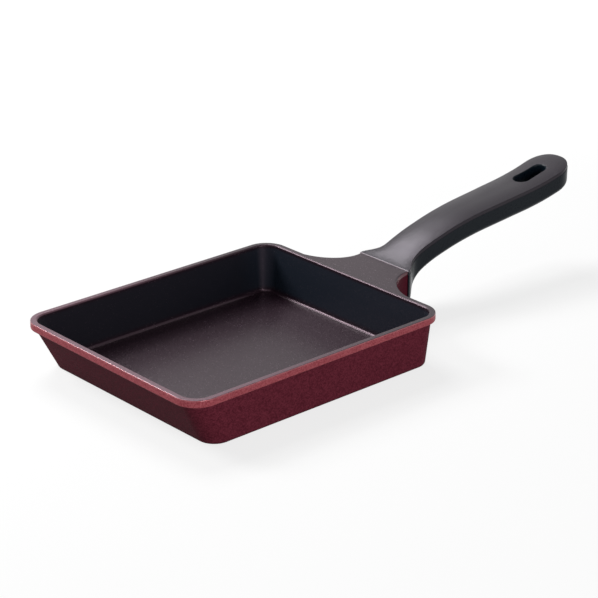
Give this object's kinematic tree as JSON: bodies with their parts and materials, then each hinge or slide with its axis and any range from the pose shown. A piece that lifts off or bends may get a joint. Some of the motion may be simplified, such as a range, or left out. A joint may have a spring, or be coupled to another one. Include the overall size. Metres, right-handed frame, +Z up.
{
  "type": "rectangular omelette pan",
  "caption": "Rectangular rolled-omelette pan: cast tray with a sloped front wall, flared neck, and a curved moulded grip with a hanging slot.",
  "frame": {"origin": "centre of the pan's flat resting plane, directly under the middle of the rim", "axes": "+X along the grip, away from the pan; +Y across the pan; +Z up, out of the pan's open top"},
  "size_m": [0.3535, 0.148, 0.0633],
  "materials": {
    "pan_body": "die-cast aluminium, wine-red metallic coat outside, dark speckled non-stick coat inside",
    "handle_grip": "black phenolic moulding, fine texture on top, smooth sides",
    "handle_screw": "zinc-plated steel",
    "spring_washer": "plain spring steel",
    "plain_washer": "zinc-plated steel"
  },
  "bodies": {
    "root": {"pan_body": "pan_body", "handle_grip": "handle_grip", "handle_screw": "handle_screw", "spring_washer": "spring_washer", "plain_washer": "plain_washer"}
  },
  "joints": []
}
